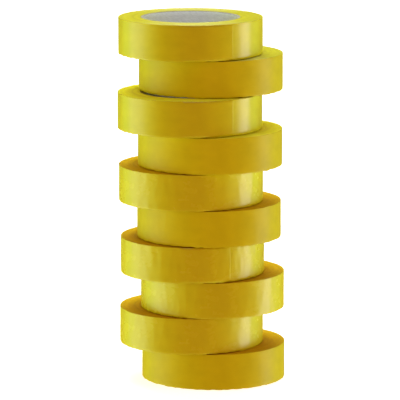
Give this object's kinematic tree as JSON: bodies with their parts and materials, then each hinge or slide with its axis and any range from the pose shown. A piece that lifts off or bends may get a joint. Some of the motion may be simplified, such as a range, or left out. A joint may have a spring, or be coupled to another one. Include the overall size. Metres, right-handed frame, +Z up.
{
  "type": "stack of masking tape rolls",
  "caption": "Rolls of glossy yellow masking tape on 3 inch paperboard cores, lying flat in a loose stack that leans left and right by turns.",
  "frame": {"origin": "on the surface under the stack, at the middle of its bounding box", "axes": "+Z up along the rolls' axes, +X to the right and -Y to the front, towards the loose tape end of the top roll"},
  "size_m": [0.1372, 0.1336, 0.3],
  "materials": {
    "tape_film": "smooth glossy yellow film",
    "core_board": "grey spiral-wound paperboard"
  },
  "bodies": {
    "roll_01": {"roll_01_core": "core_board", "roll_01_winding": "tape_film"},
    "tape_end_01": {"roll_01_tape_end": "tape_film"},
    "roll_02": {"roll_02_core": "core_board", "roll_02_winding": "tape_film"},
    "tape_end_02": {"roll_02_tape_end": "tape_film"},
    "roll_03": {"roll_03_core": "core_board", "roll_03_winding": "tape_film"},
    "tape_end_03": {"roll_03_tape_end": "tape_film"},
    "roll_04": {"roll_04_core": "core_board", "roll_04_winding": "tape_film"},
    "tape_end_04": {"roll_04_tape_end": "tape_film"},
    "roll_05": {"roll_05_core": "core_board", "roll_05_winding": "tape_film"},
    "tape_end_05": {"roll_05_tape_end": "tape_film"},
    "roll_06": {"roll_06_core": "core_board", "roll_06_winding": "tape_film"},
    "tape_end_06": {"roll_06_tape_end": "tape_film"},
    "roll_07": {"roll_07_core": "core_board", "roll_07_winding": "tape_film"},
    "tape_end_07": {"roll_07_tape_end": "tape_film"},
    "roll_08": {"roll_08_core": "core_board", "roll_08_winding": "tape_film"},
    "tape_end_08": {"roll_08_tape_end": "tape_film"},
    "roll_09": {"roll_09_core": "core_board", "roll_09_winding": "tape_film"},
    "tape_end_09": {"roll_09_tape_end": "tape_film"},
    "roll_10": {"roll_10_core": "core_board", "roll_10_winding": "tape_film"},
    "tape_end_10": {"roll_10_tape_end": "tape_film"}
  },
  "joints": [
    {"name": "lift_02", "type": "slide", "parent": "roll_01", "child": "roll_02", "axis": [0, 0, 1], "range_m": [0, 0.035]},
    {"name": "lift_03", "type": "slide", "parent": "roll_02", "child": "roll_03", "axis": [0, 0, 1], "range_m": [0, 0.035]},
    {"name": "lift_04", "type": "slide", "parent": "roll_03", "child": "roll_04", "axis": [0, 0, 1], "range_m": [0, 0.035]},
    {"name": "lift_05", "type": "slide", "parent": "roll_04", "child": "roll_05", "axis": [0, 0, 1], "range_m": [0, 0.035]},
    {"name": "lift_06", "type": "slide", "parent": "roll_05", "child": "roll_06", "axis": [0, 0, 1], "range_m": [0, 0.035]},
    {"name": "lift_07", "type": "slide", "parent": "roll_06", "child": "roll_07", "axis": [0, 0, 1], "range_m": [0, 0.035]},
    {"name": "lift_08", "type": "slide", "parent": "roll_07", "child": "roll_08", "axis": [0, 0, 1], "range_m": [0, 0.035]},
    {"name": "lift_09", "type": "slide", "parent": "roll_08", "child": "roll_09", "axis": [0, 0, 1], "range_m": [0, 0.035]},
    {"name": "lift_10", "type": "slide", "parent": "roll_09", "child": "roll_10", "axis": [0, 0, 1], "range_m": [0, 0.035]},
    {"name": "peel_01", "type": "hinge", "parent": "roll_01", "child": "tape_end_01", "pos_m": [0.03702, 0.05995, 0.015], "axis": [0, 0, -1], "range_deg": [0, 75]},
    {"name": "peel_02", "type": "hinge", "parent": "roll_02", "child": "tape_end_02", "pos_m": [-0.03635, 0.05767, 0.045], "axis": [0, 0, -1], "range_deg": [0, 75]},
    {"name": "peel_03", "type": "hinge", "parent": "roll_03", "child": "tape_end_03", "pos_m": [0.0642, 0.0237, 0.075], "axis": [0, 0, -1], "range_deg": [0, 75]},
    {"name": "peel_04", "type": "hinge", "parent": "roll_04", "child": "tape_end_04", "pos_m": [-0.01141, -0.06009, 0.105], "axis": [0, 0, -1], "range_deg": [0, 75]},
    {"name": "peel_05", "type": "hinge", "parent": "roll_05", "child": "tape_end_05", "pos_m": [0.01084, 0.05551, 0.135], "axis": [0, 0, -1], "range_deg": [0, 75]},
    {"name": "peel_06", "type": "hinge", "parent": "roll_06", "child": "tape_end_06", "pos_m": [-0.05416, 0.03242, 0.165], "axis": [0, 0, -1], "range_deg": [0, 75]},
    {"name": "peel_07", "type": "hinge", "parent": "roll_07", "child": "tape_end_07", "pos_m": [0.0511, 0.03216, 0.195], "axis": [0, 0, -1], "range_deg": [0, 75]},
    {"name": "peel_08", "type": "hinge", "parent": "roll_08", "child": "tape_end_08", "pos_m": [-0.00848, -0.0667, 0.225], "axis": [0, 0, -1], "range_deg": [0, 75]},
    {"name": "peel_09", "type": "hinge", "parent": "roll_09", "child": "tape_end_09", "pos_m": [-0.00715, 0.06489, 0.255], "axis": [0, 0, -1], "range_deg": [0, 75]},
    {"name": "peel_10", "type": "hinge", "parent": "roll_10", "child": "tape_end_10", "pos_m": [-0.0088, -0.05671, 0.285], "axis": [0, 0, -1], "range_deg": [0, 75]}
  ]
}
